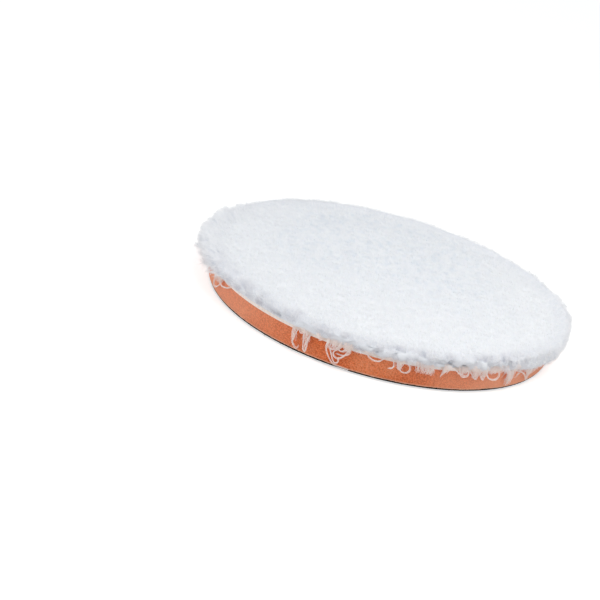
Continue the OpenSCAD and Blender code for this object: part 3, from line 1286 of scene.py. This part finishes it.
# %% Draw the wide locks
DRAWN_LOCKS = [
    (-115.9, -114.5, -115.7, -113.3, 5.2, 4),
    (-112.0, -110.2, -111.5, -109.7, 4.6, 7),
    (-114.3, -111.9, -113.3, -112.3, 11.0, 8),
    (-108.3, -106.5, -107.1, -106.1, 10.4, 8),
    (-104.5, -99.9, -103.9, -100.7, 7.6, 22),
    (-99.5, -96.1, -98.9, -97.1, 8.8, 14),
    (-93.8, -90.2, -92.8, -90.8, 10.8, 14),
    (-87.6, -84.8, -86.8, -85.4, 10.6, 12),
    (-83.8, -80.6, -82.6, -81.6, 7.6, 18),
    (-77.9, -72.3, -76.8, -71.8, 7.2, 34),
    (-69.0, -66.4, -69.0, -67.6, 8.4, 12),
    (-64.2, -60.6, -63.4, -61.2, 8.6, 16),
    (-60.0, -56.4, -58.8, -56.8, 7.2, 18),
    (-56.4, -53.6, -55.2, -54.0, 7.2, 14),
    (-53.4, -48.0, -53.0, -49.2, 9.0, 20),
    (-46.2, -43.0, -44.8, -42.8, 3.2, 22),
    (-42.0, -38.4, -41.0, -38.6, 9.8, 12),
    (-37.2, -34.8, -34.2, -33.2, 3.6, 10),
    (-32.2, -29.4, -31.2, -29.4, 8.4, 10),
    (-156.4, -148.6, -155.4, -150.0, 7.0, 34),
    (-147.4, -143.0, -146.4, -144.0, 10.2, 12),
]
DRAWN_HAZE = [
    (-48.0, -29.0, -47.0, -29.5, 5.6, 14),
    (-52.0, -27.0, -51.0, -28.0, 8.8, 30),
    (-62.0, -50.0, -61.0, -50.5, 9.4, 12),
]
print("wide locks:", len(DRAWN_LOCKS))

# %% [markdown]
# A yarn is a bundle of fibres, so each drawn line is followed by several of them, which
# stray a little. The strays come from Python's random numbers, started from a fixed seed,
# so they fall alike every time.

# %% Lay the fibres of an end or a lock
YARN_OFF = 0.5 * MM
YARN_BULGE = 0.9 * MM
YARN_CROSS = 0.25 * MM
YARN_FIBRES = 8
YARN_SPREAD = 0.3 * MM
YARN_STRAY = 0.6 * YARN_SPREAD
LOCK_FIBRES = 3
LOCK_ROOT = 0.6
LOCK_THICK = 1.0 * MM
LOCK_UNEVEN, LOCK_EVENNESS = 0.45, 1.5
LOCK_BOW, LOCK_CURL = 0.5, 0.8
CURL_LIFT = 0.5
LOCK_MARKS = 0, 0.3, 0.6, 0.85, 1
YARN_SEED = 7
random.seed(YARN_SEED)


def on_side(angle, height, off):
    """A point beside the foam, from an angle in degrees and a height in millimetres."""
    a = math.radians(angle)
    r = face_r + off
    return Vector((r * math.cos(a), r * math.sin(a), height * MM))


def wander(reach):
    return Vector([random.uniform(-reach, reach) for _ in range(3)])


def drawn_end(marks):
    """The fibres of a yarn end, close together along one drawn line."""
    last = len(marks) - 1
    centre = []
    for i, (angle, height) in enumerate(marks):
        bulge = YARN_BULGE * math.sin(math.pi * i / last)
        centre.append(on_side(angle, height, YARN_OFF + bulge + YARN_CROSS * (i % 2)))
    fibres = []
    for _ in range(YARN_FIBRES):
        aside = wander(YARN_SPREAD)
        fibres.append([point + aside + wander(YARN_STRAY) for point in centre])
    return fibres


def drawn_lock(top_from, top_to, tip_from, tip_to, tip_height, strands):
    """The fibres of a wide lock, from the edge of the cloth to its tip."""
    root_height = pile_cloth_top / MM + LOCK_ROOT
    fibres = []
    for _ in range(LOCK_FIBRES * strands):
        share = random.random()
        top = top_from + (top_to - top_from) * share
        tip = tip_from + (tip_to - tip_from) * share
        uneven = LOCK_UNEVEN * (root_height - tip_height)
        low = tip_height + uneven * random.random() ** LOCK_EVENNESS
        off = random.uniform(0, LOCK_THICK)
        bow, curl = random.uniform(-LOCK_BOW, LOCK_BOW), random.uniform(-LOCK_CURL, LOCK_CURL)
        fibres.append([
            on_side(top + (tip - top) * t + bow * math.sin(math.pi * t) + curl * t ** 4,
                    root_height + (low - root_height) * t + CURL_LIFT * abs(curl) * t ** 6,
                    YARN_OFF + off + YARN_BULGE * math.sin(math.pi * t))
            for t in LOCK_MARKS])
    return fibres


# %% [markdown]
# A curve with a bevel is a tube, which is all that a fibre needs, and converting it gives
# the mesh. The ends at the front lie where they were drawn. For the rest of the rim, some
# of the drawings are picked at random, turned there, and the ends also mirrored.

# %% Spin the yarns
YARN_R = 0.065 * MM
YARN_THINNER = 0.5
OTHER_PLACES = [16, 33, 50, 68, 88, 109, 131, 150, 172]
OTHER_ENDS, OTHER_LOCKS = 3, 2
OTHER_STRAY = 9


def spun(name, strands):
    """A piece with one thin tube along each strand."""
    start_fresh()
    bpy.ops.curve.primitive_nurbs_path_add()
    yarn = bpy.context.object
    yarn.name = yarn.data.name = name
    yarn.data.splines.clear()
    for points in strands:
        spline = yarn.data.splines.new("NURBS")
        spline.points.add(len(points) - 1)
        for i, (mark, point) in enumerate(zip(spline.points, points)):
            mark.co = (*point, 1)
            mark.radius = 1 - YARN_THINNER * (i / len(points)) ** 3
        spline.use_endpoint_u = True
        spline.order_u = 3
        spline.resolution_u = 2
    yarn.data.bevel_depth = YARN_R
    yarn.data.bevel_resolution = 0
    yarn.data.use_fill_caps = True
    bpy.ops.object.convert(target="MESH")
    bpy.ops.object.shade_flat()
    print(f"{name}: {len(strands)} fibres, {triangles(bpy.context.object)} triangles")
    return bpy.context.object


front_strands = [fibre for marks in DRAWN_ENDS for fibre in drawn_end(marks)]
front_strands += [fibre for lock in DRAWN_LOCKS for fibre in drawn_lock(*lock)]
other_strands = []
for place in OTHER_PLACES:
    for marks in random.sample(DRAWN_ENDS, OTHER_ENDS):
        middle = sum(angle for angle, _ in marks) / len(marks)
        shift = place + random.uniform(-OTHER_STRAY, OTHER_STRAY)
        side = random.choice((-1, 1))
        other_strands += drawn_end(
            [(shift + side * (angle - middle), height) for angle, height in marks])
    for lock in random.sample(DRAWN_LOCKS, OTHER_LOCKS):
        shift = place + random.uniform(-OTHER_STRAY, OTHER_STRAY) - lock[0]
        other_strands += drawn_lock(*(angle + shift for angle in lock[:4]), *lock[4:])
front_strands += [fibre for haze in DRAWN_HAZE for fibre in drawn_lock(*haze)]
yarns = [spun("loose_yarn_front", front_strands), spun("loose_yarn_rest", other_strands)]

# %% [markdown]
# Loose yarn is the same white as the pile, with a warm tint painted in for the foam's
# orange light behind it. A fine noise stands for its plies, in its colour and as a slight bump.

# %% Yarn finish
# The warm tint is painted orange light from the foam.
YARN_SHADE, YARN_LIGHT = linear(245, 232, 226), linear(254, 249, 246)

yarn_look, w, shader = material("white_loose_yarn", roughness=0.85, specular=0.1)
plies = place_on(w).noise(scale=1500, detail=2)
shade = plies.contrast(gain=2, floor=0.4).mixed(YARN_SHADE, YARN_LIGHT)
bump = plies.bump(strength=0.4, distance=0.1 * MM)
connect(shader, Base_Color=shade, Normal=bump)
for yarn in yarns:
    dress(yarn, yarn_look)

# %% [markdown]
# ## Adhesive films
#
# The two hot-melt films are thin discs between the layers. They could be modelled anew,
# but their solids are right as they are, so they only get a finish: cream, with streaks.

# %% Adhesive finish
FILM_DARK, FILM_LIGHT = linear(205, 190, 160), linear(236, 228, 206)

film_look, w, shader = material("cream_hot_melt", roughness=0.45)
streaks = place_on(w).noise(scale=180, detail=3)
connect(shader, Base_Color=streaks.mixed(FILM_DARK, FILM_LIGHT))
for node in ("back_adhesive", "face_adhesive"):
    paint(frame["nodes"][node], film_look)

# %% [markdown]
# ## Floor and light
#
# The pad lies on a white table. A white floor under a lamp alone comes out grey, and a
# floor that only glows takes no shadow. So the table is matt and adds a little white of
# its own to what the camera sees.

# %% Floor
FLOOR_SIZE = 12
FLOOR_GAP = 0.05 * MM
TABLE = (0.8, 0.8, 0.8, 1)
WHITE = (1, 1, 1, 1)
TABLE_GLOW = 0.6


def plain_tree(owner):
    """The wire of a material or a world whose nodes are all still to come."""
    owner.use_nodes = True
    owner.node_tree.nodes.clear()
    return Wire(owner.node_tree)


def seen_directly(w):
    """1 for what the camera sees, also in a mirror or through glass, and 0 for other light."""
    path = w.node("ShaderNodeLightPath")
    camera, glossy, glass = (
        path.other(f"Is {ray} Ray") for ray in ("Camera", "Glossy", "Transmission"))
    return w.maths("MINIMUM", camera + glossy + glass, 1)


start_fresh()
bpy.ops.mesh.primitive_plane_add(size=FLOOR_SIZE, location=(0, 0, nap_bottom - FLOOR_GAP))
floor = bpy.context.object
floor.name = "floor"
floor_look = bpy.data.materials.new("white_table")
w = plain_tree(floor_look)
matt = w.node("ShaderNodeBsdfDiffuse", None, {"Color": TABLE})
glow = w.node("ShaderNodeEmission", None,
              {"Color": WHITE, "Strength": seen_directly(w) * TABLE_GLOW})
both = w.node("ShaderNodeAddShader", None, {0: matt, 1: glow})
w.node("ShaderNodeOutputMaterial", None, {"Surface": both})
paint(floor, floor_look)

# %% [markdown]
# A cool sky lights the pad from all sides, and the camera sees it as plain white. Three
# round soft boxes add to it, as in a studio: a warm one above the front, a broad one at
# the left, and a faint one at the right. Smaller lamps would throw hard shadows.

# %% Light
SKY = (0.925, 0.966, 1, 1)
SKY_LIGHT = 0.5
SOFT_BOXES = [
    # name, place, size, power, colour
    ("key", (0.09, -0.125, 0.36), 0.36, 0.84, (1, 0.952, 0.905)),
    ("left fill", (-0.65, -0.28, 0.16), 0.4, 1.25, (1, 0.995, 0.99)),
    ("right fill", (0.55, -0.35, 0.16), 0.4, 0.18, (1, 0.99, 0.98)),
]

world = bpy.data.worlds.new("studio")
bpy.context.scene.world = world
w = plain_tree(world)
direct = seen_directly(w)
sky = w.node("ShaderNodeBackground", None,
             {"Color": direct.mixed(SKY, WHITE), "Strength": direct.blend(SKY_LIGHT, 1)})
w.node("ShaderNodeOutputWorld", None, {"Surface": sky})

for name, place, size, power, colour in SOFT_BOXES:
    bpy.ops.object.light_add(type="AREA", location=place)
    lamp = bpy.context.object
    lamp.name = name
    lamp.data.shape = "DISK"
    lamp.data.size = size
    lamp.data.energy = power
    lamp.data.color = colour
    lamp.rotation_euler = (-Vector(place)).to_track_quat("-Z", "Y").to_euler()
print("soft boxes:", len(SOFT_BOXES))

# %% [markdown]
# ## Finish
#
# The triangles of the pad, without the floor, are counted.

# %% Count the triangles
total = sum(triangles(o) for o in bpy.data.objects if o.type == "MESH" and o is not floor)
print("pad:", total, "triangles")
